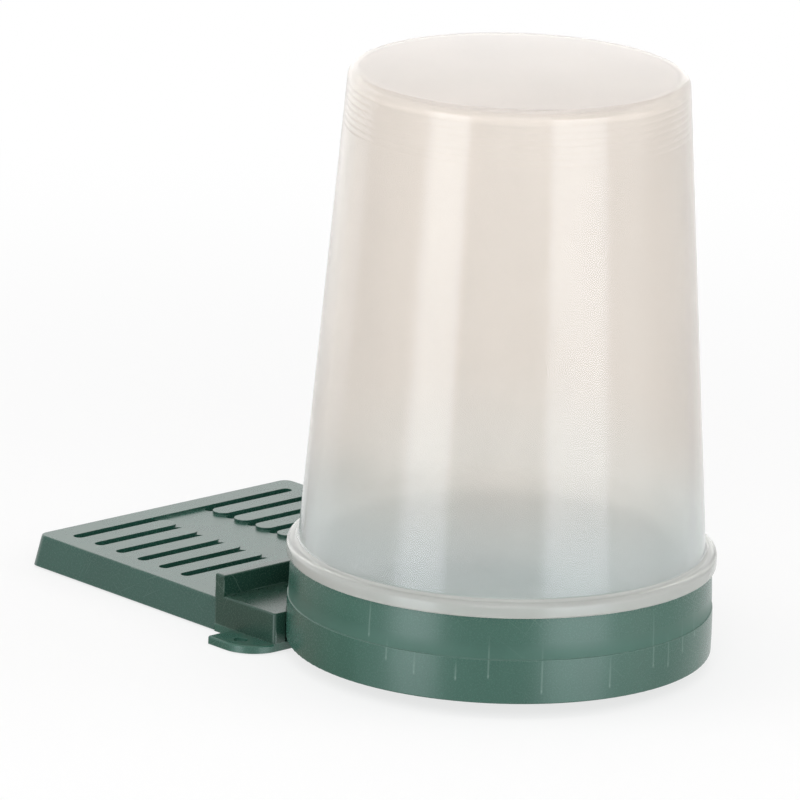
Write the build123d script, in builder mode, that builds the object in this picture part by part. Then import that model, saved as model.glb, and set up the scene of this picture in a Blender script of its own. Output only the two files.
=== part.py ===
# Entrance feeder. A translucent reservoir stands upside down in a round dish. Syrup runs out under
# its mouth, through a port in the dish's ring wall and along a channel, to a tray with a slotted cover.
#
# Frame: origin at the centre of the dish's foot, +Z up, +Y from the dish towards the tray, X across.
# Millimetres. The foot, the channel, the tray and the ears all stand on Z = 0.
from build123d import *
import os

os.makedirs("parts", exist_ok=True)

# Walls
wall = 1.8  # walls of the pan, skirts of the covers
floor = 2.5  # floor of the pan, and its fixing ears
edge = 0.6  # rounding of the edges that a hand meets

# Round dish: foot, shelf and ring wall
foot_r = 47.0  # outside of the foot, and of the well above it
ring_bottom = 4.6  # underside of the shelf, which carries the ring wall
shelf_top = 6.6
ring_foot_r = 66.1  # outside of the ring wall at the shelf
ring_r = 66.2  # outside at the middle of the crowned lower band
ring_ledge_r = 66.1  # outside of the lower band at the mould's parting line
ring_waist_r = 65.8  # outside of the upper band at the parting line
ring_upper_r = 65.7  # outside at the middle of the crowned upper band
ring_rim_r = 65.3  # outside at the rim
ring_bore_r = 63.2  # inside
parting_z = 18.6  # height of the parting line
ring_top = 31.9  # height of the rim, where the reservoir's lip sits
ring_round = 0.4  # at the foot of the ring wall
ledge_round = 0.2  # along the parting line

# Channel, tray and bridge
half_width = 55.0  # bridge, and the foot of the slotted cover's skirt
channel_half = 44.0  # outside of the channel's side walls
bridge_front = 43.0
bridge_back = 71.0  # back of the stop wall, and front of the tray
deck_top = 12.3
deck_thickness = 2.1
stop_wall_thickness = 4.0
stop_wall_top = 18.9
stop_proud = 0.2  # how far the stop wall's back stands out past the deck and its skirts
bridge_corner = 1.2  # rounding of the bridge's upright front corners
seam = 0.15  # gap between the bridge and the ring wall
tray_half = 51.0  # outside of the tray's side walls
tray_back = 156.2

# Pegs on the pan that hold the bridge
peg_x = 48.6
peg_front_y = 52.0
peg_back_y = 64.0
peg_r = 2.0
peg_play = 0.05
socket_r = 3.4

# Fixing ears
ear_reach = 65.5  # outer edge, from the middle
ear_back = 62.0
ear_round = 11.0
ear_hole_x = 60.0
ear_hole_y = 53.0
ear_hole_r = 2.25

# Slotted cover
cover_top = 10.3
cover_thickness = 2.1
cover_gap = 0.3  # between the cover and the stop wall
cover_lift = 0.3  # between the skirt's foot and the ground
cover_back = 158.6  # at the top
cover_corner = 3.5  # rounding of the upright back corners
skirt_flare = 1.6  # how far the skirt's foot stands out past the top
slot_length = 36.6
slot_width = 3.8
slot_pitch = 10.4
slot_rows = 6
slot_bank_x = 27.9  # middle of a bank of slots, from the middle of the cover
slot_middle_y = 122.7
strip_half = 9.0  # centre strip between the rounded ends of the bars
strip_depth = 0.9

# Reservoir
reservoir_wall = 1.5
mouth_z = 7.2  # the mouth's rim, which sets the level of the syrup
collar_r = 61.5  # outside of the collar inside the ring wall
lip_r = 66.8
lip_top = 36.5
lip_round = 1.6
lip_blend = 1.6  # hollow rounding between the wall and the lip
body_r = 63.3  # outside of the wall where it meets the lip
end_r = 52.4  # outside of the wall at the closed end
end_z = 186.9
end_round = 3.2
end_thickness = 1.8

# Worked out
lower_band_z = (ring_bottom + parting_z) / 2
upper_band_z = (parting_z + ring_top) / 2
well_wall_r = foot_r - wall / 2  # middle of the well's wall
channel_wall_x = channel_half - wall / 2  # middle of the channel's side walls
channel_start = (well_wall_r**2 - channel_wall_x**2) ** 0.5  # where these walls meet
channel_top = deck_top - deck_thickness  # the bridge's deck rests on the channel's walls here
tray_top = cover_top - cover_thickness  # the slotted cover rests on the tray's walls here
bridge_length = bridge_back - bridge_front
bridge_middle = (bridge_back + bridge_front) / 2
deck_length = bridge_length - stop_proud
stop_wall_foot = deck_top - deck_thickness / 2
tray_length = tray_back - bridge_back
tray_middle = (tray_back + bridge_back) / 2
peg_middle_y = (peg_back_y + peg_front_y) / 2
peg_pitch_y = peg_back_y - peg_front_y
cover_front = bridge_back + cover_gap
cover_length = cover_back - cover_front
cover_half = half_width - skirt_flare
bar_width = slot_pitch - slot_width
slot_span = (slot_rows - 1) * slot_pitch
inner_end_z = end_z - end_thickness


# Pan: dish, channel, tray and ears in one moulding
with BuildPart() as base_pan:
    with BuildSketch(Plane.XZ) as dish:
        with BuildLine():
            Polyline(
                (ring_rim_r, ring_top),
                (ring_bore_r, ring_top),
                (ring_bore_r, shelf_top),
                (foot_r - wall, shelf_top),
                (foot_r - wall, floor),
                (0, floor),
                (0, 0),
                (foot_r, 0),
                (foot_r, ring_bottom),
                (ring_foot_r, ring_bottom),
            )
            ThreePointArc((ring_foot_r, ring_bottom), (ring_r, lower_band_z), (ring_ledge_r, parting_z))
            Line((ring_ledge_r, parting_z), (ring_waist_r, parting_z))
            ThreePointArc((ring_waist_r, parting_z), (ring_upper_r, upper_band_z), (ring_rim_r, ring_top))
        make_face()
        fillet(dish.vertices().sort_by_distance((ring_foot_r, ring_bottom))[0], ring_round)
        fillet(dish.vertices().sort_by_distance((ring_ledge_r, parting_z))[0], ledge_round)
        fillet(dish.vertices().sort_by_distance((ring_rim_r, ring_top))[0], edge)
    revolve(axis=Axis.Z)

    # Ears, and the floor under the bridge
    with BuildSketch() as ears:
        with Locations((0, bridge_front)):
            Rectangle(2 * ear_reach, ear_back - bridge_front, align=(Align.CENTER, Align.MIN))
        fillet(ears.vertices().sort_by(Axis.Y)[:2], ear_round)
        with Locations((-ear_hole_x, ear_hole_y), (ear_hole_x, ear_hole_y)):
            Circle(ear_hole_r, mode=Mode.SUBTRACT)
        with Locations((0, bridge_middle)):
            Rectangle(2 * half_width, bridge_length)
    extrude(amount=floor)
    ear_tops = base_pan.edges().filter_by(GeomType.LINE).filter_by_position(Axis.Z, floor, floor)
    fillet(ear_tops.group_by(Axis.X)[0] + ear_tops.group_by(Axis.X)[-1], edge)

    # Channel under the shelf, its walls outside the ring wall, and the tray
    with BuildSketch():
        with Locations((0, channel_start)):
            Rectangle(2 * channel_half, bridge_back - channel_start, align=(Align.CENTER, Align.MIN))
    extrude(amount=(ring_bottom + shelf_top) / 2)
    with BuildSketch():
        with Locations((0, bridge_front)):
            Rectangle(2 * channel_half, bridge_length, align=(Align.CENTER, Align.MIN))
        Circle(ring_bore_r + wall / 2, mode=Mode.SUBTRACT)
    extrude(amount=channel_top)
    with BuildSketch():
        with Locations((0, tray_middle)):
            Rectangle(2 * tray_half, tray_length)
    extrude(amount=tray_top)

    # Hollow of the channel, through the shelf and under the ring wall, and hollow of the tray
    with BuildSketch(Plane.XY.offset(floor)):
        Rectangle(2 * (channel_half - wall), bridge_back + 2 * wall, align=(Align.CENTER, Align.MIN))
        with Locations((0, tray_middle)):
            Rectangle(2 * (tray_half - wall), tray_length - 2 * wall)
    extrude(amount=channel_top - floor, mode=Mode.SUBTRACT)

    # Rib along the middle of the tray, which carries the slotted cover's centre strip
    with BuildSketch(Plane.XY.offset(floor)):
        with Locations((0, slot_middle_y)):
            SlotOverall(slot_span, wall, rotation=90)
    extrude(amount=tray_top - floor)

    # Pegs that hold the bridge
    with BuildSketch(Plane.XY.offset(floor)):
        with Locations((0, peg_middle_y)):
            with GridLocations(2 * peg_x, peg_pitch_y, 2, 2):
                Circle(peg_r)
    extrude(amount=channel_top - floor - peg_play)

base_pan.part.label = "base_pan"
export_step(base_pan.part, "parts/base_pan.step")


# Bridge: deck, side skirts and the upright stop wall
with BuildPart() as bridge_cover:
    with BuildSketch(Plane.XY.offset(floor)) as deck:
        with Locations((0, bridge_front)):
            Rectangle(2 * half_width, deck_length, align=(Align.CENTER, Align.MIN))
        Circle(ring_r + seam, mode=Mode.SUBTRACT)
        for side in (-half_width, half_width):
            fillet(deck.vertices().sort_by_distance((side, bridge_front))[0], bridge_corner)
    extrude(amount=deck_top - floor)
    deck_edges = bridge_cover.faces().sort_by(Axis.Z)[-1].edges().filter_by(GeomType.LINE)
    fillet(deck_edges.sort_by(Axis.Y)[:-1], edge)

    with BuildSketch(Plane.XY.offset(stop_wall_foot)):
        with Locations((0, bridge_back)):
            Rectangle(2 * half_width, stop_wall_thickness, align=(Align.CENTER, Align.MAX))
    extrude(amount=stop_wall_top - stop_wall_foot)
    fillet(bridge_cover.faces().sort_by(Axis.Z)[-1].edges(), edge)

    # Hollow underside, open towards the tray
    with BuildSketch(Plane.XY.offset(floor)):
        with Locations((0, bridge_front + wall)):
            Rectangle(2 * (half_width - wall), bridge_length, align=(Align.CENTER, Align.MIN))
    extrude(amount=channel_top - floor, mode=Mode.SUBTRACT)

    # Sockets that take the pan's pegs
    with BuildSketch(Plane.XY.offset(floor)):
        with Locations((0, peg_middle_y)):
            with GridLocations(2 * peg_x, peg_pitch_y, 2, 2):
                Circle(socket_r)
                Circle(peg_r + peg_play, mode=Mode.SUBTRACT)
    extrude(amount=channel_top - floor)

bridge_cover.part.label = "bridge_cover"
export_step(bridge_cover.part, "parts/bridge_cover.step")


# Slotted cover: top, skirt on three sides, two banks of slots
with BuildPart() as slotted_cover:
    with BuildSketch(Plane.XY.offset(cover_lift)) as skirt_foot:
        with Locations((0, cover_front)):
            Rectangle(2 * half_width, cover_length + skirt_flare, align=(Align.CENTER, Align.MIN))
        fillet(skirt_foot.vertices().sort_by(Axis.Y)[-2:], cover_corner)
    with BuildSketch(Plane.XY.offset(cover_top)) as top_outline:
        with Locations((0, cover_front)):
            Rectangle(2 * cover_half, cover_length, align=(Align.CENTER, Align.MIN))
        fillet(top_outline.vertices().sort_by(Axis.Y)[-2:], cover_corner)
    loft()
    fillet(slotted_cover.faces().sort_by(Axis.Z)[-1].edges().sort_by(Axis.Y)[1:], edge)

    # Hollow underside, open towards the bridge
    with BuildSketch(Plane.XY.offset(cover_lift)) as foot_hollow:
        with Locations((0, cover_front)):
            Rectangle(
                2 * (half_width - wall),
                cover_length + skirt_flare - wall,
                align=(Align.CENTER, Align.MIN),
            )
        fillet(foot_hollow.vertices().sort_by(Axis.Y)[-2:], cover_corner - wall)
    with BuildSketch(Plane.XY.offset(tray_top)) as top_hollow:
        with Locations((0, cover_front)):
            Rectangle(2 * (cover_half - wall), cover_length - wall, align=(Align.CENTER, Align.MIN))
        fillet(top_hollow.vertices().sort_by(Axis.Y)[-2:], cover_corner - wall)
    loft(mode=Mode.SUBTRACT)

    # Slots
    with BuildSketch(Plane.XY.offset(tray_top)):
        with Locations((0, slot_middle_y)):
            with GridLocations(2 * slot_bank_x, slot_pitch, 2, slot_rows):
                SlotOverall(slot_length, slot_width)
    extrude(amount=cover_thickness, mode=Mode.SUBTRACT)

    # Sunk centre strip, between the rounded ends of the bars
    with BuildSketch(Plane.XY.offset(cover_top)):
        with Locations((0, slot_middle_y)):
            Rectangle(2 * (strip_half + bar_width / 2), slot_span + slot_width)
            with GridLocations(2 * (strip_half + bar_width), slot_pitch, 2, slot_rows - 1):
                SlotOverall(2 * bar_width, bar_width, mode=Mode.SUBTRACT)
    extrude(amount=-strip_depth, mode=Mode.SUBTRACT)

slotted_cover.part.label = "slotted_cover"
export_step(slotted_cover.part, "parts/slotted_cover.step")


# Reservoir: turned profile with its collar, lip, tapered wall and closed end
with BuildPart() as reservoir:
    with BuildSketch(Plane.XZ) as turned:
        with BuildLine():
            Polyline(
                (0, end_z),
                (end_r, end_z),
                (body_r, lip_top),
                (lip_r, lip_top),
                (lip_r, ring_top),
                (collar_r, ring_top),
                (collar_r, mouth_z),
                (collar_r - reservoir_wall, mouth_z),
                (collar_r - reservoir_wall, ring_top),
                (body_r - reservoir_wall, lip_top),
                (end_r - reservoir_wall, inner_end_z),
                (0, inner_end_z),
                close=True,
            )
        make_face()
        fillet(turned.vertices().sort_by_distance((end_r, end_z))[0], end_round)
        fillet(turned.vertices().sort_by_distance((end_r - reservoir_wall, inner_end_z))[0], end_round)
        fillet(turned.vertices().sort_by_distance((lip_r, lip_top))[0], lip_round)
        fillet(turned.vertices().sort_by_distance((lip_r, ring_top))[0], edge)
        fillet(turned.vertices().sort_by_distance((body_r, lip_top))[0], lip_blend)
    revolve(axis=Axis.Z)

reservoir.part.label = "reservoir"
export_step(reservoir.part, "parts/reservoir.step")
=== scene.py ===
"""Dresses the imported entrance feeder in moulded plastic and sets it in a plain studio.

All lengths are in metres.
"""
import logging
import math
from dataclasses import dataclass
from enum import Enum
from typing import Optional, Sequence, Union

import bpy
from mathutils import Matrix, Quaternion, Vector


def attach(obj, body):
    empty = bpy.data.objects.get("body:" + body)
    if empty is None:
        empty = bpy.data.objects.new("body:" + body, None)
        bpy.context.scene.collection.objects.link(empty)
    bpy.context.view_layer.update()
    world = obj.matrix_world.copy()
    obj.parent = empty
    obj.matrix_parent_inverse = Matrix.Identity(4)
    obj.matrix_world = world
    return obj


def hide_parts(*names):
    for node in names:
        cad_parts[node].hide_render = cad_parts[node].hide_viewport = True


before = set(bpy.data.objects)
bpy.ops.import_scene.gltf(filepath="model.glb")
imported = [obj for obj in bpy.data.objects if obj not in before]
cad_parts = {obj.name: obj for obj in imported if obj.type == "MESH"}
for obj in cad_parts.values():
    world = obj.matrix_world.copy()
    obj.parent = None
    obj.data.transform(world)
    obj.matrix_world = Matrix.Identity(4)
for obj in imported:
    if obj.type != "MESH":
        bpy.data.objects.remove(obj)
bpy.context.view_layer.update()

LOG = logging.getLogger("feeder")
MM = 0.001
SHARP_DEGREES = 35.0  # corners of a turned piece that bend more than this stay sharp
ON_AXIS = 1e-7  # metres from the axis within which a point counts as on it
Colour = tuple[float, float, float]
Point = tuple[float, float]
Feed = Union[float, bpy.types.NodeSocket]


class Role(Enum):
    """What a lamp does for the picture."""

    KEY = "key"
    FILL = "fill"
    GLOSS = "gloss"


class Graph:
    """Short calls that add nodes to a node tree and link them."""

    def __init__(self, tree: bpy.types.NodeTree) -> None:
        """Keeps the tree that the nodes go into."""
        self.tree = tree

    def add(self, kind: str, **settings: object) -> bpy.types.Node:
        """Adds a node.

        Args:
            kind: the node's type.
            settings: attributes to set on it.

        Returns:
            The new node.
        """
        node = self.tree.nodes.new(kind)
        for name, value in settings.items():
            setattr(node, name, value)
        return node

    def feed(self, value: object, socket: bpy.types.NodeSocket) -> None:
        """Links a socket to an input, or sets the input to a plain value.

        Args:
            value: an output socket, a number or a colour.
            socket: the input.
        """
        if isinstance(value, bpy.types.NodeSocket):
            self.tree.links.new(value, socket)
        else:
            socket.default_value = value

    def math(self, operation: str, *values: Feed, clamp: bool = False) -> bpy.types.NodeSocket:
        """Adds a Math node.

        Args:
            operation: what it does.
            values: its inputs in order.
            clamp: whether the result stays within 0 and 1.

        Returns:
            Its result.
        """
        node = self.add("ShaderNodeMath", operation=operation, use_clamp=clamp)
        for value, socket in zip(values, node.inputs):
            self.feed(value, socket)
        return node.outputs[0]

    def step(self, value: Feed, low: Feed, high: Feed, ends: Point = (0.0, 1.0)) -> bpy.types.NodeSocket:
        """Maps a value smoothly from one range onto another.

        Args:
            value: what is mapped.
            low: where the change begins.
            high: where it ends.
            ends: the results below low and above high.

        Returns:
            The mapped value.
        """
        node = self.add("ShaderNodeMapRange", interpolation_type="SMOOTHSTEP")
        names = ("Value", "From Min", "From Max", "To Min", "To Max")
        for name, fed in zip(names, (value, low, high, *ends)):
            self.feed(fed, node.inputs[name])
        return node.outputs["Result"]

    def noise(self, place: bpy.types.NodeSocket, scale: Feed, detail: float = 2.0) -> bpy.types.NodeSocket:
        """Adds a noise texture.

        Args:
            place: the coordinates that it is read at.
            scale: how many features there are to a unit.
            detail: octaves.

        Returns:
            Its value, about 0.5 on average.
        """
        node = self.add("ShaderNodeTexNoise")
        self.feed(place, node.inputs["Vector"])
        self.feed(scale, node.inputs["Scale"])
        node.inputs["Detail"].default_value = detail
        return node.outputs["Fac"]

    def height(self) -> bpy.types.NodeSocket:
        """Reads the height of the point that is shaded.

        Returns:
            The height, in metres.
        """
        place = self.add("ShaderNodeSeparateXYZ")
        self.feed(self.add("ShaderNodeTexCoord").outputs["Object"], place.inputs[0])
        return place.outputs["Z"]

    def blend(self, share: Feed, first: object, second: object) -> bpy.types.NodeSocket:
        """Mixes two colours.

        Args:
            share: how much of the second is in the mix.
            first: a colour or a colour socket.
            second: likewise.

        Returns:
            The mixed colour.
        """
        node = self.add("ShaderNodeMix", data_type="RGBA")
        # The node has a set of sockets for each kind of data. These are the ones for colours.
        self.feed(share, node.inputs[0])
        self.feed(first, node.inputs[6])
        self.feed(second, node.inputs[7])
        return node.outputs[2]


class Effect:
    """A shader effect that several finishes share, built once as a node group."""

    name = ""
    inputs: Sequence[tuple[str, str, object]] = ()
    outputs: Sequence[tuple[str, str]] = ()

    def __init__(self) -> None:
        """Makes the group with its sockets and fills it."""
        self.tree = bpy.data.node_groups.new(self.name, "ShaderNodeTree")
        for label, kind, value in self.inputs:
            socket = self.tree.interface.new_socket(name=label, in_out="INPUT", socket_type=kind)
            socket.default_value = value
        for label, kind in self.outputs:
            self.tree.interface.new_socket(name=label, in_out="OUTPUT", socket_type=kind)
        graph = Graph(self.tree)
        self.fill(graph, graph.add("NodeGroupInput").outputs, graph.add("NodeGroupOutput").inputs)

    def fill(self, graph: Graph, given: bpy.types.NodeOutputs, result: bpy.types.NodeInputs) -> None:
        """Adds the nodes of the effect.

        Args:
            graph: the group's tree.
            given: the group's inputs.
            result: the group's outputs.
        """
        raise NotImplementedError

    def place(self, graph: Graph, **values: object) -> bpy.types.NodeOutputs:
        """Puts the effect into a material.

        Args:
            graph: the material's tree.
            values: the inputs by name, with underscores for spaces.

        Returns:
            The effect's outputs.
        """
        node = graph.add("ShaderNodeGroup", node_tree=self.tree, label=self.name)
        for label, value in values.items():
            graph.feed(value, node.inputs[label.replace("_", " ")])
        return node.outputs


class MouldedGrain(Effect):
    """The fine texture that a mould leaves on plastic."""

    name = "moulded_grain"
    inputs = (("Pitch", "NodeSocketFloat", 0.0006),)
    outputs = (("Height", "NodeSocketFloat"), ("Tone", "NodeSocketFloat"))
    fine_detail = 3.0
    wave_scale = 90.0
    wave_detail = 1.0
    wave_share = 2.0

    def fill(self, graph: Graph, given: bpy.types.NodeOutputs, result: bpy.types.NodeInputs) -> None:
        """Adds fine pits over broad waves of the surface.

        Args:
            graph: the group's tree.
            given: the group's inputs.
            result: the group's outputs.
        """
        place = graph.add("ShaderNodeTexCoord").outputs["Object"]
        fine = graph.noise(place, graph.math("DIVIDE", 1.0, given["Pitch"]), self.fine_detail)
        broad = graph.noise(place, self.wave_scale, self.wave_detail)
        graph.feed(graph.math("MULTIPLY_ADD", broad, self.wave_share, fine), result["Height"])
        graph.feed(fine, result["Tone"])


class DrawLines(Effect):
    """Faint upright lines on a round piece, along the pull out of its mould."""

    name = "draw_lines"
    inputs = (("Pitch", "NodeSocketFloat", 0.001),)
    outputs = (("Height", "NodeSocketFloat"),)
    radius = 60.0 * MM
    drawn_out = 0.03

    def fill(self, graph: Graph, given: bpy.types.NodeOutputs, result: bpy.types.NodeInputs) -> None:
        """Reads a noise round the axis, drawn out along it.

        Args:
            graph: the group's tree.
            given: the group's inputs.
            result: the group's outputs.
        """
        place = graph.add("ShaderNodeSeparateXYZ")
        graph.feed(graph.add("ShaderNodeTexCoord").outputs["Object"], place.inputs[0])
        turn = graph.math("ARCTAN2", place.outputs["Y"], place.outputs["X"])
        spot = graph.add("ShaderNodeCombineXYZ")
        graph.feed(graph.math("MULTIPLY", graph.math("COSINE", turn), self.radius), spot.inputs["X"])
        graph.feed(graph.math("MULTIPLY", graph.math("SINE", turn), self.radius), spot.inputs["Y"])
        graph.feed(graph.math("MULTIPLY", place.outputs["Z"], self.drawn_out), spot.inputs["Z"])
        lines = graph.noise(spot.outputs[0], graph.math("DIVIDE", 1.0, given["Pitch"]))
        graph.feed(lines, result["Height"])


class ToneDrift(Effect):
    """The slow change of shade that pigment leaves along the flow of the melt."""

    name = "tone_drift"
    inputs = (
        ("Colour", "NodeSocketColor", (0.5, 0.5, 0.5, 1.0)),
        ("Dark", "NodeSocketFloat", 0.85),
        ("Light", "NodeSocketFloat", 1.15),
    )
    outputs = (("Colour", "NodeSocketColor"),)
    drawn_out = (1.0, 1.0, 0.35)
    cloud_scale = 42.0
    cloud_detail = 4.0
    cloud_range = (0.3, 0.7)

    def fill(self, graph: Graph, given: bpy.types.NodeOutputs, result: bpy.types.NodeInputs) -> None:
        """Adds clouds drawn out upright.

        Args:
            graph: the group's tree.
            given: the group's inputs.
            result: the group's outputs.
        """
        place = graph.add("ShaderNodeTexCoord").outputs["Object"]
        drawn = graph.add("ShaderNodeVectorMath", operation="MULTIPLY")
        graph.feed(place, drawn.inputs[0])
        drawn.inputs[1].default_value = self.drawn_out
        clouds = graph.noise(drawn.outputs[0], self.cloud_scale, self.cloud_detail)
        scale = graph.add("ShaderNodeMapRange")
        graph.feed(clouds, scale.inputs["Value"])
        graph.feed(self.cloud_range[0], scale.inputs["From Min"])
        graph.feed(self.cloud_range[1], scale.inputs["From Max"])
        graph.feed(given["Dark"], scale.inputs["To Min"])
        graph.feed(given["Light"], scale.inputs["To Max"])
        shaded = graph.add("ShaderNodeVectorMath", operation="SCALE")
        graph.feed(given["Colour"], shaded.inputs[0])
        graph.feed(scale.outputs["Result"], shaded.inputs["Scale"])
        graph.feed(shaded.outputs[0], result["Colour"])


class DragMarks(Effect):
    """Pale upright lines round the ring, left by the mould and by handling.

    Each line has a bright dot at its foot.
    """

    name = "drag_marks"
    inputs = (
        ("Spacing", "NodeSocketFloat", 0.008),
        ("Width", "NodeSocketFloat", 0.0004),
        ("Length", "NodeSocketFloat", 0.014),
        ("Share", "NodeSocketFloat", 0.5),
        ("Foot", "NodeSocketFloat", 0.0065),
        ("Span", "NodeSocketFloat", 0.015),
        ("Dot", "NodeSocketFloat", 0.0011),
        ("Seed", "NodeSocketFloat", 0.0),
    )
    outputs = (("Line", "NodeSocketFloat"), ("Dot", "NodeSocketFloat"))
    radius = 66.0 * MM
    cell_margin = 0.15
    shortest = 0.4
    foot_end = 0.06
    fade_from = 0.3

    def fill(self, graph: Graph, given: bpy.types.NodeOutputs, result: bpy.types.NodeInputs) -> None:
        """Adds one mark or none to each cell round the axis.

        Args:
            graph: the group's tree.
            given: the group's inputs.
            result: the group's outputs.
        """
        place = graph.add("ShaderNodeSeparateXYZ")
        graph.feed(graph.add("ShaderNodeTexCoord").outputs["Object"], place.inputs[0])
        turn = graph.math("ARCTAN2", place.outputs["Y"], place.outputs["X"])
        along = graph.math("DIVIDE", graph.math("MULTIPLY", turn, self.radius), given["Spacing"])
        cell = graph.math("FLOOR", along)
        draw = graph.add("ShaderNodeTexWhiteNoise", noise_dimensions="2D")
        joined = graph.add("ShaderNodeCombineXYZ")
        graph.feed(cell, joined.inputs["X"])
        graph.feed(given["Seed"], joined.inputs["Y"])
        graph.feed(joined.outputs[0], draw.inputs["Vector"])
        lots = graph.add("ShaderNodeSeparateColor")
        graph.feed(draw.outputs["Color"], lots.inputs[0])
        kept = graph.math("LESS_THAN", draw.outputs["Value"], given["Share"])
        spread = 1.0 - 2.0 * self.cell_margin
        middle = graph.math("MULTIPLY_ADD", lots.outputs["Red"], spread, self.cell_margin)
        off = graph.math("ABSOLUTE", graph.math("SUBTRACT", graph.math("FRACT", along), middle))
        off = graph.math("MULTIPLY", off, given["Spacing"])
        across = graph.math("MULTIPLY", graph.step(off, 0.0, given["Width"], (1.0, 0.0)), kept)
        start = graph.math("MULTIPLY_ADD", lots.outputs["Green"], given["Span"], given["Foot"])
        above = graph.math("SUBTRACT", place.outputs["Z"], start)
        reach = graph.math("ADD", lots.outputs["Blue"], self.shortest)
        rise = graph.math("DIVIDE", above, graph.math("MULTIPLY", reach, given["Length"]))
        fading = graph.step(rise, self.fade_from, 1.0, (1.0, 0.0))
        inside = graph.math("MULTIPLY", graph.step(rise, 0.0, self.foot_end), fading)
        graph.feed(graph.math("MULTIPLY", across, inside), result["Line"])
        near = graph.step(graph.math("ABSOLUTE", above), 0.0, given["Dot"], (1.0, 0.0))
        graph.feed(graph.math("MULTIPLY", across, near), result["Dot"])


class EdgeWear(Effect):
    """Where hands and boards have rubbed the edges."""

    name = "edge_wear"
    inputs = (("Width", "NodeSocketFloat", 0.0006),)
    outputs = (("Mask", "NodeSocketFloat"),)
    bevel_samples = 6
    edge_range = (0.80, 0.99)
    patch_scale = 320.0
    patch_detail = 4.0
    patch_range = (0.38, 0.66)

    def fill(self, graph: Graph, given: bpy.types.NodeOutputs, result: bpy.types.NodeInputs) -> None:
        """Compares the surface's direction with its rounded one.

        Args:
            graph: the group's tree.
            given: the group's inputs.
            result: the group's outputs.
        """
        rounded = graph.add("ShaderNodeBevel", samples=self.bevel_samples)
        graph.feed(given["Width"], rounded.inputs["Radius"])
        agree = graph.add("ShaderNodeVectorMath", operation="DOT_PRODUCT")
        graph.feed(rounded.outputs[0], agree.inputs[0])
        graph.feed(graph.add("ShaderNodeNewGeometry").outputs["Normal"], agree.inputs[1])
        edge = graph.step(agree.outputs["Value"], *self.edge_range, (1.0, 0.0))
        place = graph.add("ShaderNodeTexCoord").outputs["Object"]
        patches = graph.noise(place, self.patch_scale, self.patch_detail)
        patchy = graph.step(patches, *self.patch_range)
        graph.feed(graph.math("MULTIPLY", edge, patchy), result["Mask"])


class DustFilm(Effect):
    """Thin dust on faces that look up."""

    name = "dust_film"
    outputs = (("Mask", "NodeSocketFloat"),)
    up_range = (0.55, 0.95)
    patch_scale = 120.0
    patch_detail = 5.0
    patch_range = (0.35, 0.75)

    def fill(self, graph: Graph, given: bpy.types.NodeOutputs, result: bpy.types.NodeInputs) -> None:
        """Adds patches on faces that look up.

        Args:
            graph: the group's tree.
            given: the group's inputs, not used.
            result: the group's outputs.
        """
        facing = graph.add("ShaderNodeSeparateXYZ")
        graph.feed(graph.add("ShaderNodeNewGeometry").outputs["Normal"], facing.inputs[0])
        up = graph.step(facing.outputs["Z"], *self.up_range)
        place = graph.add("ShaderNodeTexCoord").outputs["Object"]
        patches = graph.noise(place, self.patch_scale, self.patch_detail)
        patchy = graph.step(patches, *self.patch_range)
        graph.feed(graph.math("MULTIPLY", up, patchy), result["Mask"])


class Scuffs(Effect):
    """Straight hair scratches in a few directions, gathered in rubbed patches."""

    name = "scuffs"
    inputs = (
        ("Spacing", "NodeSocketFloat", 0.003),
        ("Width", "NodeSocketFloat", 0.00012),
        ("Length", "NodeSocketFloat", 0.02),
        ("Patch", "NodeSocketFloat", 0.016),
    )
    outputs = (("Mask", "NodeSocketFloat"),)
    slants = ((0.80, 0.35, 0.49), (-0.30, 0.85, 0.43), (0.55, -0.45, 0.70))
    cell_margin = 0.1
    run_range = (0.52, 0.66)
    patch_detail = 3.0
    patch_range = (0.48, 0.66)

    def scratch(
        self, graph: Graph, given: bpy.types.NodeOutputs, slant: Sequence[float]
    ) -> bpy.types.NodeSocket:
        """Cuts the surface with thin planes square to one direction, each broken off into short runs.

        Args:
            graph: the group's tree.
            given: the group's inputs.
            slant: the direction.

        Returns:
            1 on a scratch, 0 off it.
        """
        place = graph.add("ShaderNodeTexCoord").outputs["Object"]
        across = graph.add("ShaderNodeVectorMath", operation="DOT_PRODUCT")
        graph.feed(place, across.inputs[0])
        across.inputs[1].default_value = slant
        cells = graph.math("DIVIDE", across.outputs["Value"], given["Spacing"])
        draw = graph.add("ShaderNodeTexWhiteNoise", noise_dimensions="1D")
        graph.feed(graph.math("FLOOR", cells), draw.inputs["W"])
        spread = 1.0 - 2.0 * self.cell_margin
        middle = graph.math("MULTIPLY_ADD", draw.outputs["Value"], spread, self.cell_margin)
        off = graph.math("ABSOLUTE", graph.math("SUBTRACT", graph.math("FRACT", cells), middle))
        off = graph.math("MULTIPLY", off, given["Spacing"])
        moved = graph.add("ShaderNodeVectorMath", operation="ADD")
        graph.feed(place, moved.inputs[0])
        graph.feed(draw.outputs["Color"], moved.inputs[1])
        runs = graph.noise(moved.outputs[0], graph.math("DIVIDE", 1.0, given["Length"]), 0.0)
        line = graph.step(off, 0.0, given["Width"], (1.0, 0.0))
        return graph.math("MULTIPLY", line, graph.step(runs, *self.run_range))

    def fill(self, graph: Graph, given: bpy.types.NodeOutputs, result: bpy.types.NodeInputs) -> None:
        """Joins the scratches of all directions within patches.

        Args:
            graph: the group's tree.
            given: the group's inputs.
            result: the group's outputs.
        """
        lines = [self.scratch(graph, given, slant) for slant in self.slants]
        joined = graph.math("MAXIMUM", graph.math("MAXIMUM", lines[0], lines[1]), lines[2])
        place = graph.add("ShaderNodeTexCoord").outputs["Object"]
        patches = graph.noise(place, graph.math("DIVIDE", 1.0, given["Patch"]), self.patch_detail)
        patchy = graph.step(patches, *self.patch_range)
        graph.feed(graph.math("MULTIPLY", joined, patchy), result["Mask"])


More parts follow.
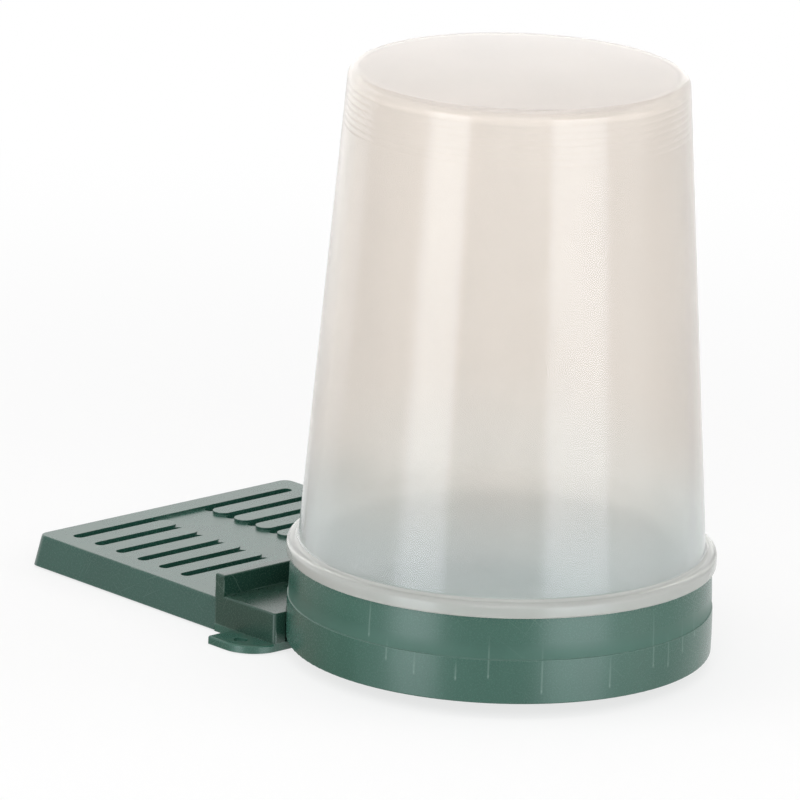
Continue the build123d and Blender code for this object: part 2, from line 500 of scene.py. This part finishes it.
class Effects:
    """All shared effects."""

    def __init__(self) -> None:
        """Builds each group once."""
        self.grain = MouldedGrain()
        self.lines = DrawLines()
        self.drift = ToneDrift()
        self.marks = DragMarks()
        self.wear = EdgeWear()
        self.dust = DustFilm()
        self.scuffs = Scuffs()


@dataclass(frozen=True)
class GreenPlastic:
    """Dark green moulded plastic with a satin surface, marked by use, with a painted highlight along the
    parting ledge when a ledge height is given.
    """

    name: str
    colour: Colour = (0.018, 0.072, 0.053)
    worn: Colour = (0.26, 0.36, 0.32)
    dust: Colour = (0.42, 0.41, 0.36)
    ior: float = 1.5
    dark: float = 0.92
    light: float = 1.09
    rough: float = 0.27
    rough_spread: float = 0.06
    worn_rough: float = 0.35
    marks: float = 0.0
    line_share: float = 0.5
    seed: float = 0.0
    scuffing: float = 0.25
    wearing: float = 0.3
    dusting: float = 0.06
    lines: float = 0.0
    ledge_z: float = 0.0
    # How far the parting ledge is painted paler: a painted highlight.
    ledge_painted_light: float = 0.2
    ledge_reach: float = 0.25 * MM
    dulling: float = 0.2
    dull_reach: float = 6.0 * MM
    grain_pitch: float = 0.5 * MM
    grain_strength: float = 0.04
    grain_depth: float = 0.05 * MM
    wear_width: float = 0.7 * MM

    def rubbed(self, graph: Graph, effects: Effects) -> bpy.types.NodeSocket:
        """Joins the worn edges, the scratches and the drag marks.

        Args:
            graph: the material's tree.
            effects: the shared effects.

        Returns:
            How pale the plastic is rubbed, from 0 to 1.
        """
        edges = effects.wear.place(graph, Width=self.wear_width)["Mask"]
        wear = graph.math("MULTIPLY", edges, self.wearing)
        scuffs = graph.math("MULTIPLY", effects.scuffs.place(graph)["Mask"], self.scuffing)
        pale = graph.math("MAXIMUM", wear, scuffs)
        if self.marks:
            mark = effects.marks.place(graph, Seed=self.seed)
            lines = graph.math("MULTIPLY", mark["Line"], self.line_share)
            drawn = graph.math("MAXIMUM", lines, mark["Dot"])
            pale = graph.math("MAXIMUM", pale, graph.math("MULTIPLY", drawn, self.marks))
        return pale

    def ledge(self, graph: Graph) -> tuple[bpy.types.NodeSocket, bpy.types.NodeSocket]:
        """Paints a pale line along the mould's parting ledge round the piece: a painted highlight over the
        ledge's shade.

        Args:
            graph: the material's tree.

        Returns:
            How much paler the line is painted, as a painted highlight, and how much duller the plastic is
            just above it.
        """
        above = graph.math("SUBTRACT", graph.height(), self.ledge_z)
        away = graph.math("ABSOLUTE", above)
        pale = graph.step(away, 0.0, self.ledge_reach, (self.ledge_painted_light, 0.0))
        dull = graph.step(above, 0.0, self.dull_reach, (self.dulling, 0.0))
        return pale, graph.math("MULTIPLY", dull, graph.math("GREATER_THAN", above, 0.0))

    def make(self, effects: Effects) -> bpy.types.Material:
        """Builds the material.

        Args:
            effects: the shared effects.

        Returns:
            The material.
        """
        material = bpy.data.materials.new(self.name)
        material.use_nodes = True
        graph = Graph(material.node_tree)
        shader = material.node_tree.nodes["Principled BSDF"]
        shader.inputs["IOR"].default_value = self.ior
        pale = self.rubbed(graph, effects)
        dull: Feed = 0.0
        if self.ledge_z:
            # The ledge line is painted paler, a painted highlight over its shade, and is joined to the
            # real wear.
            line, dull = self.ledge(graph)
            pale = graph.math("MAXIMUM", pale, line)
        drifting = effects.drift.place(graph, Colour=(*self.colour, 1.0), Dark=self.dark, Light=self.light)
        # The worn colour serves both the real wear and the ledge's painted highlight.
        colour = graph.blend(pale, drifting["Colour"], (*self.worn, 1.0))
        dusty = graph.math("MULTIPLY", effects.dust.place(graph)["Mask"], self.dusting)
        colour = graph.blend(dusty, colour, (*self.dust, 1.0))
        graph.feed(colour, shader.inputs["Base Color"])
        grain = effects.grain.place(graph, Pitch=self.grain_pitch)
        smoothest = self.rough - self.rough_spread / 2
        rough = graph.math("MULTIPLY_ADD", grain["Tone"], self.rough_spread, smoothest)
        marked = graph.math("MAXIMUM", pale, dusty)
        rough = graph.math("MULTIPLY_ADD", marked, self.worn_rough, rough, clamp=True)
        graph.feed(graph.math("ADD", rough, dull, clamp=True), shader.inputs["Roughness"])
        bump = graph.add("ShaderNodeBump")
        bump.inputs["Strength"].default_value = self.grain_strength
        bump.inputs["Distance"].default_value = self.grain_depth
        height = grain["Height"]
        if self.lines:
            lines = effects.lines.place(graph)["Height"]
            height = graph.math("MULTIPLY_ADD", lines, self.lines, height)
        graph.feed(height, bump.inputs["Height"])
        graph.feed(bump.outputs[0], shader.inputs["Normal"])
        return material


@dataclass(frozen=True)
class FrostedPlastic:
    """Milky see-through plastic with a soft gloss; its colour carries painted light, a cool tint towards
    the bottom and, in part, its warm tone above.
    """

    name: str
    # The main colour is partly the plastic's own tone and partly painted warm light from the surroundings.
    # The tint below is painted light too: the green dish showing through the wall, full at the bottom and
    # gone higher up.
    colour: Colour = (0.815, 0.775, 0.733)
    painted_dish_tint: Colour = (0.768, 0.81, 0.808)
    painted_tint_below: float = 40.0 * MM
    painted_tint_ends_above: float = 80.0 * MM
    clouded: Colour = (0.78, 0.74, 0.69)
    clearness: float = 0.75
    ior: float = 1.49
    dark: float = 0.97
    light: float = 1.02
    rough: float = 0.18
    rough_spread: float = 0.04
    scuffed_rough: float = 0.2
    lamp_tint: Colour = (0.78, 0.76, 0.73)
    scuffing: float = 0.25
    scuff_patch: float = 22.0 * MM
    lines: float = 2.0
    line_pitch: float = 1.6 * MM
    grain_pitch: float = 5.0 * MM
    grain_strength: float = 0.03
    grain_depth: float = 0.05 * MM

    def make(self, effects: Effects) -> bpy.types.Material:
        """Builds the material.

        Args:
            effects: the shared effects.

        Returns:
            The material.
        """
        material = bpy.data.materials.new(self.name)
        material.use_nodes = True
        graph = Graph(material.node_tree)
        shader = material.node_tree.nodes["Principled BSDF"]
        shader.inputs["IOR"].default_value = self.ior
        shader.inputs["Transmission Weight"].default_value = self.clearness
        # Painted light: the colour turns to the cool tint towards the bottom, standing in for the green
        # dish seen through the wall.
        warm = graph.step(graph.height(), self.painted_tint_below, self.painted_tint_ends_above)
        colour = graph.blend(warm, (*self.painted_dish_tint, 1.0), (*self.colour, 1.0))
        drifting = effects.drift.place(graph, Colour=colour, Dark=self.dark, Light=self.light)
        scuffed = effects.scuffs.place(graph, Patch=self.scuff_patch)
        scuffs = graph.math("MULTIPLY", scuffed["Mask"], self.scuffing)
        colour = graph.blend(scuffs, drifting["Colour"], (*self.clouded, 1.0))
        graph.feed(colour, shader.inputs["Base Color"])
        grain = effects.grain.place(graph, Pitch=self.grain_pitch)
        smoothest = self.rough - self.rough_spread / 2
        rough = graph.math("MULTIPLY_ADD", grain["Tone"], self.rough_spread, smoothest)
        rough = graph.math("MULTIPLY_ADD", scuffs, self.scuffed_rough, rough, clamp=True)
        graph.feed(rough, shader.inputs["Roughness"])
        bump = graph.add("ShaderNodeBump")
        bump.inputs["Strength"].default_value = self.grain_strength
        bump.inputs["Distance"].default_value = self.grain_depth
        drawn = effects.lines.place(graph, Pitch=self.line_pitch)["Height"]
        graph.feed(graph.math("MULTIPLY_ADD", drawn, self.lines, grain["Height"]), bump.inputs["Height"])
        graph.feed(bump.outputs[0], shader.inputs["Normal"])
        through = graph.add("ShaderNodeBsdfTransparent")
        through.inputs["Color"].default_value = (*self.lamp_tint, 1.0)
        lamps = graph.add("ShaderNodeMixShader")
        graph.feed(graph.add("ShaderNodeLightPath").outputs["Is Shadow Ray"], lamps.inputs[0])
        graph.feed(shader.outputs[0], lamps.inputs[1])
        graph.feed(through.outputs[0], lamps.inputs[2])
        graph.feed(lamps.outputs[0], material.node_tree.nodes["Material Output"].inputs["Surface"])
        return material


def rounded(points: Sequence[Point], radii: Sequence[float], steps: int = 6) -> list[Point]:
    """Rounds the corners of a line of points.

    Args:
        points: the corners, both ends included.
        radii: a radius for each corner, 0 where it stays sharp.
        steps: runs in each arc.

    Returns:
        The line with its arcs.
    """
    line = [points[0]]
    for before, corner, after, radius in zip(points, points[1:], points[2:], radii[1:]):
        middle = Vector(corner)
        back = (Vector(before) - middle).normalized()
        ahead = (Vector(after) - middle).normalized()
        half = back.angle(ahead) / 2
        if radius == 0:
            line.append(corner)
            continue
        away = radius / math.tan(half)
        centre = middle + (back + ahead).normalized() * (radius / math.sin(half))
        first = (middle + back * away - centre).normalized()
        last = (middle + ahead * away - centre).normalized()
        for step in range(steps + 1):
            arm = first.slerp(last, step / steps)
            line.append(tuple(centre + arm * radius))
    line.append(points[-1])
    return line


def turned(name: str, profile: Sequence[Point], segments: int) -> bpy.types.Object:
    """Turns a profile round the Z axis.

    Args:
        name: the new object's name.
        profile: radius and height of each point, in metres.
        segments: faces round the axis.

    Returns:
        The new object, smooth apart from its sharp corners.
    """
    points: list[tuple[float, float, float]] = []
    rows: list[list[int]] = []
    for radius, height in profile:
        count = 1 if radius < ON_AXIS else segments
        rows.append(list(range(len(points), len(points) + count)))
        for index in range(count):
            turn = 2 * math.pi * index / segments
            points.append((radius * math.cos(turn), radius * math.sin(turn), height))
    faces: list[list[int]] = []
    for upper, lower in zip(rows, rows[1:]):
        for index in range(segments):
            after = (index + 1) % segments
            ring = [
                upper[index % len(upper)],
                lower[index % len(lower)],
                lower[after % len(lower)],
                upper[after % len(upper)],
            ]
            face = [corner for place, corner in enumerate(ring) if corner not in ring[:place]]
            if len(face) > 2:
                faces.append(face)
    mesh = bpy.data.meshes.new(name)
    mesh.from_pydata(points, [], faces)
    mesh.shade_smooth()
    mesh.set_sharp_from_angle(angle=math.radians(SHARP_DEGREES))
    mesh.update()
    piece = bpy.data.objects.new(name, mesh)
    bpy.context.scene.collection.objects.link(piece)
    return piece


def dress(piece: bpy.types.Object, material: bpy.types.Material) -> None:
    """Gives every slot of a piece one material.

    Args:
        piece: the piece.
        material: its finish.
    """
    if not piece.material_slots:
        piece.data.materials.append(material)
    for slot in piece.material_slots:
        slot.link = "OBJECT"
        slot.material = material
    LOG.info("dressed %s in %s", piece.name, material.name)


@dataclass
class Dish:
    """The pan with its round dish."""

    node: str = "base_pan"
    ledge_z: float = 18.6 * MM

    def dress(self, effects: Effects) -> None:
        """Gives the pan its finish, marked where it was drawn from the mould, in a lighter green that is
        painted light.

        Args:
            effects: the shared effects.
        """
        finish = GreenPlastic(
            "ring_green_painted_light",
            # Lighter than the cover's green of the same plastic: painted light on the ring.
            colour=(0.030, 0.100, 0.074),
            dust=(0.16, 0.15, 0.12),
            marks=0.6,
            seed=3.0,
            scuffing=0.08,
            dusting=0.25,
            lines=3.0,
            ledge_z=self.ledge_z,
        )
        dress(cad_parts[self.node], finish.make(effects))


@dataclass
class Bridge:
    """The deck between the ring and the tray, with its stop wall."""

    node: str = "bridge_cover"

    def dress(self, effects: Effects) -> None:
        """Gives the bridge its finish, scuffed by boards and thumbs, in a darker green that is painted
        shade.

        Args:
            effects: the shared effects.
        """
        finish = GreenPlastic(
            "bridge_green_painted_shade",
            # Darker than the cover's green of the same plastic: painted shade on the bridge.
            colour=(0.018, 0.056, 0.040),
            scuffing=0.35,
            wearing=0.4,
            lines=4.0,
        )
        dress(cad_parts[self.node], finish.make(effects))


@dataclass
class TrayCover:
    """The slotted cover of the tray."""

    node: str = "slotted_cover"

    def dress(self, effects: Effects) -> None:
        """Gives the cover its finish, dusty on top."""
        finish = GreenPlastic("cover_green", scuffing=0.2, dusting=0.07)
        dress(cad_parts[self.node], finish.make(effects))


@dataclass
class Reservoir:
    """The tumbler that holds the syrup, turned with the fine rings of its mould near the closed end."""

    node: str = "reservoir"
    body: str = "tumbler"
    slot: str = "frosted_plastic"
    wall: float = 1.5 * MM
    mouth_z: float = 7.2 * MM
    ring_top: float = 31.9 * MM
    collar_r: float = 61.5 * MM
    lip_r: float = 66.8 * MM
    lip_top: float = 36.5 * MM
    lip_round: float = 1.6 * MM
    lip_blend: float = 1.6 * MM
    body_r: float = 63.3 * MM
    end_r: float = 52.4 * MM
    end_z: float = 186.9 * MM
    end_round: float = 3.2 * MM
    end_thickness: float = 1.8 * MM
    edge: float = 0.6 * MM
    mouth_round: float = 0.5 * MM
    ring_pitch: float = 2.1 * MM
    ring_count: int = 7
    ring_depth: float = 0.055 * MM
    ring_width: float = 0.6 * MM
    ring_first: float = 4.2 * MM
    ring_steps: int = 6
    segments: int = 256
    lip_colour: Colour = (0.74, 0.75, 0.72)
    lip_clearness: float = 0.6
    end_painted_shade: Colour = (0.70, 0.648, 0.605)
    piece: Optional[bpy.types.Object] = None

    def wall_radius(self, height: float) -> float:
        """Gives the outside radius of the tapered wall at a height."""
        share = (height - self.lip_top) / (self.end_z - self.lip_top)
        return self.body_r + (self.end_r - self.body_r) * share

    def rings(self) -> list[Point]:
        """Draws the fine grooves round the wall.

        Returns:
            Their points, from the closed end down.
        """
        points = []
        for index in range(self.ring_count):
            start = self.end_z - self.ring_first - index * self.ring_pitch
            for step in range(self.ring_steps + 1):
                turn = step / self.ring_steps
                height = start - turn * self.ring_width
                sunk = self.ring_depth * (0.5 - 0.5 * math.cos(2 * math.pi * turn))
                points.append((self.wall_radius(height) - sunk, height))
        return points

    def build(self) -> None:
        """Turns the profile and puts the piece in the node's place."""
        inner_z = self.end_z - self.end_thickness
        bore = self.collar_r - self.wall
        rings = self.rings()
        top = rounded([(0.0, self.end_z), (self.end_r, self.end_z), rings[0]], [0.0, self.end_round])
        side = rounded(
            [
                rings[-1],
                (self.body_r, self.lip_top),
                (self.lip_r, self.lip_top),
                (self.lip_r, self.ring_top),
                (self.collar_r, self.ring_top),
                (self.collar_r, self.mouth_z),
                (bore, self.mouth_z),
                (bore, self.ring_top),
                (self.body_r - self.wall, self.lip_top),
                (self.end_r - self.wall, inner_z),
                (0.0, inner_z),
            ],
            [
                0.0,
                self.lip_blend,
                self.lip_round,
                self.edge,
                self.edge,
                self.mouth_round,
                self.mouth_round,
                self.edge,
                self.edge,
                self.end_round,
            ],
        )
        profile = top[:-1] + rings + side[1:]
        self.piece = turned("reservoir_shell", profile, self.segments)
        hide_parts(self.node)
        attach(self.piece, self.body)

    def dress(self, effects: Effects) -> None:
        """Gives the shell its milky finish, its thick lip a cloudier one, and its closed end a darker one,
        which is painted shade on the top.

        Args:
            effects: the shared effects.
        """
        dress(self.piece, FrostedPlastic("frosted_shell").make(effects))
        lip = FrostedPlastic(
            "frosted_lip",
            colour=self.lip_colour,
            painted_dish_tint=self.lip_colour,
            clearness=self.lip_clearness,
        )
        # The closed end's darker colour is painted shade on the top of the tumbler.
        end = FrostedPlastic("frosted_end_painted_shade", colour=self.end_painted_shade)
        for finish in (lip, end):
            self.piece.data.materials.append(finish.make(effects))
        lip_slot, painted_shade_slot = 1, 2
        for face in self.piece.data.polygons:
            out = math.hypot(face.center.x, face.center.y)
            if out > self.collar_r + self.edge and face.center.z < self.lip_top + self.edge:
                face.material_index = lip_slot
            # Faces of the closed end take the painted shade.
            if out < self.end_r - self.end_round and face.center.z > self.end_z - self.end_round:
                face.material_index = painted_shade_slot


@dataclass(frozen=True)
class Panel:
    """A soft light: a key for all surfaces, a fill without a reflection, or a reflection alone.

    The fades are shares of its height and width. A side fade below 0 is on the other side.
    """

    name: str
    role: Role
    place: tuple[float, float, float]
    aim: tuple[float, float, float]
    width: float
    height: float
    radiance: float
    foot_fade: float = 0.0
    side_fade: float = 0.0
    colour: Colour = (1.0, 1.0, 1.0)

    def soften(self, light: bpy.types.AreaLight) -> None:
        """Fades the lamp over a share of its height from the foot, and of its width from one side.

        Args:
            light: the lamp's data.
        """
        light.use_nodes = True
        graph = Graph(light.node_tree)
        spot = graph.add("ShaderNodeSeparateXYZ")
        graph.feed(graph.add("ShaderNodeNewGeometry").outputs["Parametric"], spot.inputs[0])
        level = graph.step(spot.outputs["Y"], 0.0, self.foot_fade)
        if self.side_fade:
            start = 0.0 if self.side_fade > 0 else 1.0
            side = graph.step(spot.outputs["X"], start, start + self.side_fade)
            level = graph.math("MULTIPLY", level, side)
        graph.feed(level, light.node_tree.nodes["Emission"].inputs["Strength"])

    def build(self) -> None:
        """Makes the lamp, at a power that gives its radiance."""
        light = bpy.data.lights.new(self.name, "AREA")
        light.shape = "RECTANGLE"
        light.size = self.width
        light.size_y = self.height
        light.energy = self.radiance * math.pi * self.width * self.height
        light.color = self.colour
        if self.foot_fade:
            self.soften(light)
        lamp = bpy.data.objects.new(self.name, light)
        bpy.context.scene.collection.objects.link(lamp)
        lamp.location = self.place
        toward = Vector(self.aim) - Vector(self.place)
        lamp.rotation_euler = toward.to_track_quat("-Z", "Y").to_euler()
        lamp.visible_camera = False
        lamp.visible_diffuse = self.role is not Role.GLOSS
        lamp.visible_glossy = self.role is not Role.FILL
        LOG.info("lamp %s", self.name)


@dataclass
class Studio:
    """Camera, lamps, floor and background."""

    eye: tuple[float, float, float] = (-1.8684, -1.9501, 0.8378)
    aim: tuple[float, float, float] = (-0.0242, 0.0226, 0.0810)
    roll_degrees: float = 1.98
    lens: float = 408.66
    sensor: float = 36.0
    sight: float = 50.0
    strip_z: float = -0.05
    strip_height: float = 0.8
    strip_fade: float = 0.29
    strip_colour: Colour = (0.95, 1.0, 1.06)
    ambient: float = 0.5
    floor_half: float = 4.0
    floor_drop: float = 0.3 * MM
    floor_colour: Colour = (0.9, 0.9, 0.9)
    floor_rough: float = 0.9
    floor_lift: float = 0.74
    fade_near: float = 0.22
    fade_far: float = 0.62
    floor_middle: tuple[float, float, float] = (0.0, 0.045, 0.0)
    floor_corners: tuple[Point, ...] = ((-1, -1), (1, -1), (1, 1), (-1, 1))
    card_degrees: float = 111.0
    card_away: float = 1.2
    card_width: float = 1.68
    card_z: Point = (-0.66, -0.24)
    card_colour: Colour = (0.42, 0.33, 0.30)

    def camera(self) -> None:
        """Sets the camera at the photograph's angle."""
        data = bpy.data.cameras.new("camera")
        data.lens = self.lens
        data.sensor_width = self.sensor
        data.clip_end = self.sight
        camera = bpy.data.objects.new("camera", data)
        bpy.context.scene.collection.objects.link(camera)
        camera.location = self.eye
        look = (Vector(self.aim) - Vector(self.eye)).to_track_quat("-Z", "Y")
        roll = Quaternion((0.0, 0.0, 1.0), math.radians(self.roll_degrees))
        camera.rotation_euler = (look @ roll).to_euler()
        bpy.context.scene.camera = camera

    def strips(self) -> list[Panel]:
        """Lists the panels that show as reflections on the upright walls.

        Returns:
            The panels.
        """
        shared = {
            "role": Role.GLOSS,
            "aim": (0.0, 0.0, self.strip_z),
            "height": self.strip_height,
            "foot_fade": self.strip_fade,
        }
        return [
            Panel(
                "left_strip",
                place=(-0.9, 0.017, self.strip_z),
                width=0.52,
                radiance=3.0,
                side_fade=0.4,
                colour=self.strip_colour,
                **shared,
            ),
            Panel(
                "right_strip",
                place=(-0.017, -0.9, self.strip_z),
                width=0.65,
                radiance=3.0,
                side_fade=-0.15,
                colour=self.strip_colour,
                **shared,
            ),
            Panel(
                "back_sheen",
                Role.GLOSS,
                place=(-0.15, 1.5, 0.37),
                aim=(0.0, 0.0, 0.37),
                width=1.6,
                height=1.2,
                radiance=0.75,
                foot_fade=0.1,
                side_fade=-0.25,
            ),
            Panel(
                "right_sheen",
                place=(0.544, -0.717, self.strip_z),
                width=0.6,
                radiance=0.8,
                side_fade=-0.6,
                **shared,
            ),
        ]

    def soft_lamps(self) -> list[Panel]:
        """Lists the lamps that light the object, by place, aim, width, height and radiance.

        Returns:
            The lamps.
        """
        return [
            Panel("front_fill", Role.FILL, (-0.72, -0.84, 0.62), (0.0, 0.0, 0.06), 0.8, 0.8, 3.6),
            Panel("left_fill", Role.FILL, (-1.0, 0.6, 0.8), (0.0, 0.0, 0.08), 0.9, 0.9, 1.8),
            Panel("right_fill", Role.FILL, (0.9, -0.75, 0.7), (0.0, 0.0, 0.08), 0.8, 0.8, 1.9),
            Panel("top_lamp", Role.FILL, (0.0, 0.05, 1.3), (0.0, 0.05, 0.0), 1.2, 1.2, 0.5),
            Panel("back_lamp", Role.KEY, (0.8, 0.9, 0.5), (0.0, 0.05, 0.08), 0.9, 0.9, 0.6),
        ]

    def shows_background(self, graph: Graph) -> bpy.types.NodeSocket:
        """Picks out the rays that show the background: from the camera, through glass or off a gloss.

        Args:
            graph: the tree that the nodes go into.

        Returns:
            1 for such a ray, 0 for any other.
        """
        path = graph.add("ShaderNodeLightPath").outputs
        direct = graph.math("MAXIMUM", path["Is Camera Ray"], path["Is Transmission Ray"])
        return graph.math("MAXIMUM", direct, path["Is Glossy Ray"])

    def world(self) -> None:
        """Makes a white surround that lights the object softly."""
        world = bpy.data.worlds.new("studio")
        world.use_nodes = True
        graph = Graph(world.node_tree)
        level = graph.math("MAXIMUM", self.shows_background(graph), self.ambient)
        background = world.node_tree.nodes["Background"]
        background.inputs["Color"].default_value = (1.0, 1.0, 1.0, 1.0)
        graph.feed(level, background.inputs["Strength"])
        bpy.context.scene.world = world

    def sheet(
        self, name: str, corners: Sequence[Sequence[float]]
    ) -> tuple[bpy.types.Object, bpy.types.Material]:
        """Makes a flat piece of the studio, which isn't part of the object.

        Args:
            name: its name.
            corners: its corners in order, in metres.

        Returns:
            The piece and its new material.
        """
        mesh = bpy.data.meshes.new(name)
        mesh.from_pydata(corners, [], [range(len(corners))])
        piece = bpy.data.objects.new(name, mesh)
        bpy.context.scene.collection.objects.link(piece)
        piece.visible_shadow = False
        material = bpy.data.materials.new(name)
        material.use_nodes = True
        mesh.materials.append(material)
        return piece, material

    def card(self) -> None:
        """Hangs a warm grey card low behind the left, which shows only in gloss, as a painted darker
        reflection on the left of the ring.
        """
        turn = math.radians(self.card_degrees)
        middle = Vector((math.cos(turn), math.sin(turn), 0.0)) * self.card_away
        half = Vector((-math.sin(turn), math.cos(turn), 0.0)) * (self.card_width / 2)
        low, high = (Vector((0.0, 0.0, height)) for height in self.card_z)
        corners = [middle - half + low, middle + half + low, middle + half + high, middle - half + high]
        card, material = self.sheet("studio_card", corners)
        card.visible_camera = False
        card.visible_diffuse = False
        card.visible_transmission = False
        graph = Graph(material.node_tree)
        # A dim warm glow that only reflections see: a painted dark reflection standing in for shade.
        grey = graph.add("ShaderNodeEmission")
        grey.inputs["Color"].default_value = (*self.card_colour, 1.0)
        graph.feed(grey.outputs[0], material.node_tree.nodes["Material Output"].inputs["Surface"])

    def floor(self) -> None:
        """Lays a pale floor that keeps the shadow and fades into the white."""
        half = self.floor_half
        corners = [(x * half, y * half, -self.floor_drop) for x, y in self.floor_corners]
        floor, material = self.sheet("studio_floor", corners)
        floor.visible_glossy = False
        graph = Graph(material.node_tree)
        shader = material.node_tree.nodes["Principled BSDF"]
        shader.inputs["Base Color"].default_value = (*self.floor_colour, 1.0)
        shader.inputs["Roughness"].default_value = self.floor_rough
        shader.inputs["Specular IOR Level"].default_value = 0.0
        white = graph.add("ShaderNodeEmission")
        away = graph.add("ShaderNodeVectorMath", operation="DISTANCE")
        graph.feed(graph.add("ShaderNodeTexCoord").outputs["Object"], away.inputs[0])
        away.inputs[1].default_value = self.floor_middle
        lift = graph.step(away.outputs["Value"], self.fade_near, self.fade_far, (self.floor_lift, 1.0))
        share = graph.math("MULTIPLY", lift, self.shows_background(graph))
        mix = graph.add("ShaderNodeMixShader")
        graph.feed(share, mix.inputs[0])
        graph.feed(shader.outputs[0], mix.inputs[1])
        graph.feed(white.outputs[0], mix.inputs[2])
        graph.feed(mix.outputs[0], material.node_tree.nodes["Material Output"].inputs["Surface"])

    def build(self) -> None:
        """Sets up everything round the object."""
        bpy.context.scene.view_settings.view_transform = "Standard"
        self.camera()
        for panel in (*self.strips(), *self.soft_lamps()):
            panel.build()
        self.world()
        self.floor()
        self.card()


def main() -> None:
    """Builds the pieces in order, dresses them and sets the studio round them."""
    logging.basicConfig(level=logging.INFO, format="%(name)s: %(message)s")
    effects = Effects()
    dish, bridge, cover, reservoir = Dish(), Bridge(), TrayCover(), Reservoir()
    reservoir.build()
    dish.dress(effects)
    bridge.dress(effects)
    cover.dress(effects)
    reservoir.dress(effects)
    Studio().build()


if __name__ == "__main__":
    main()
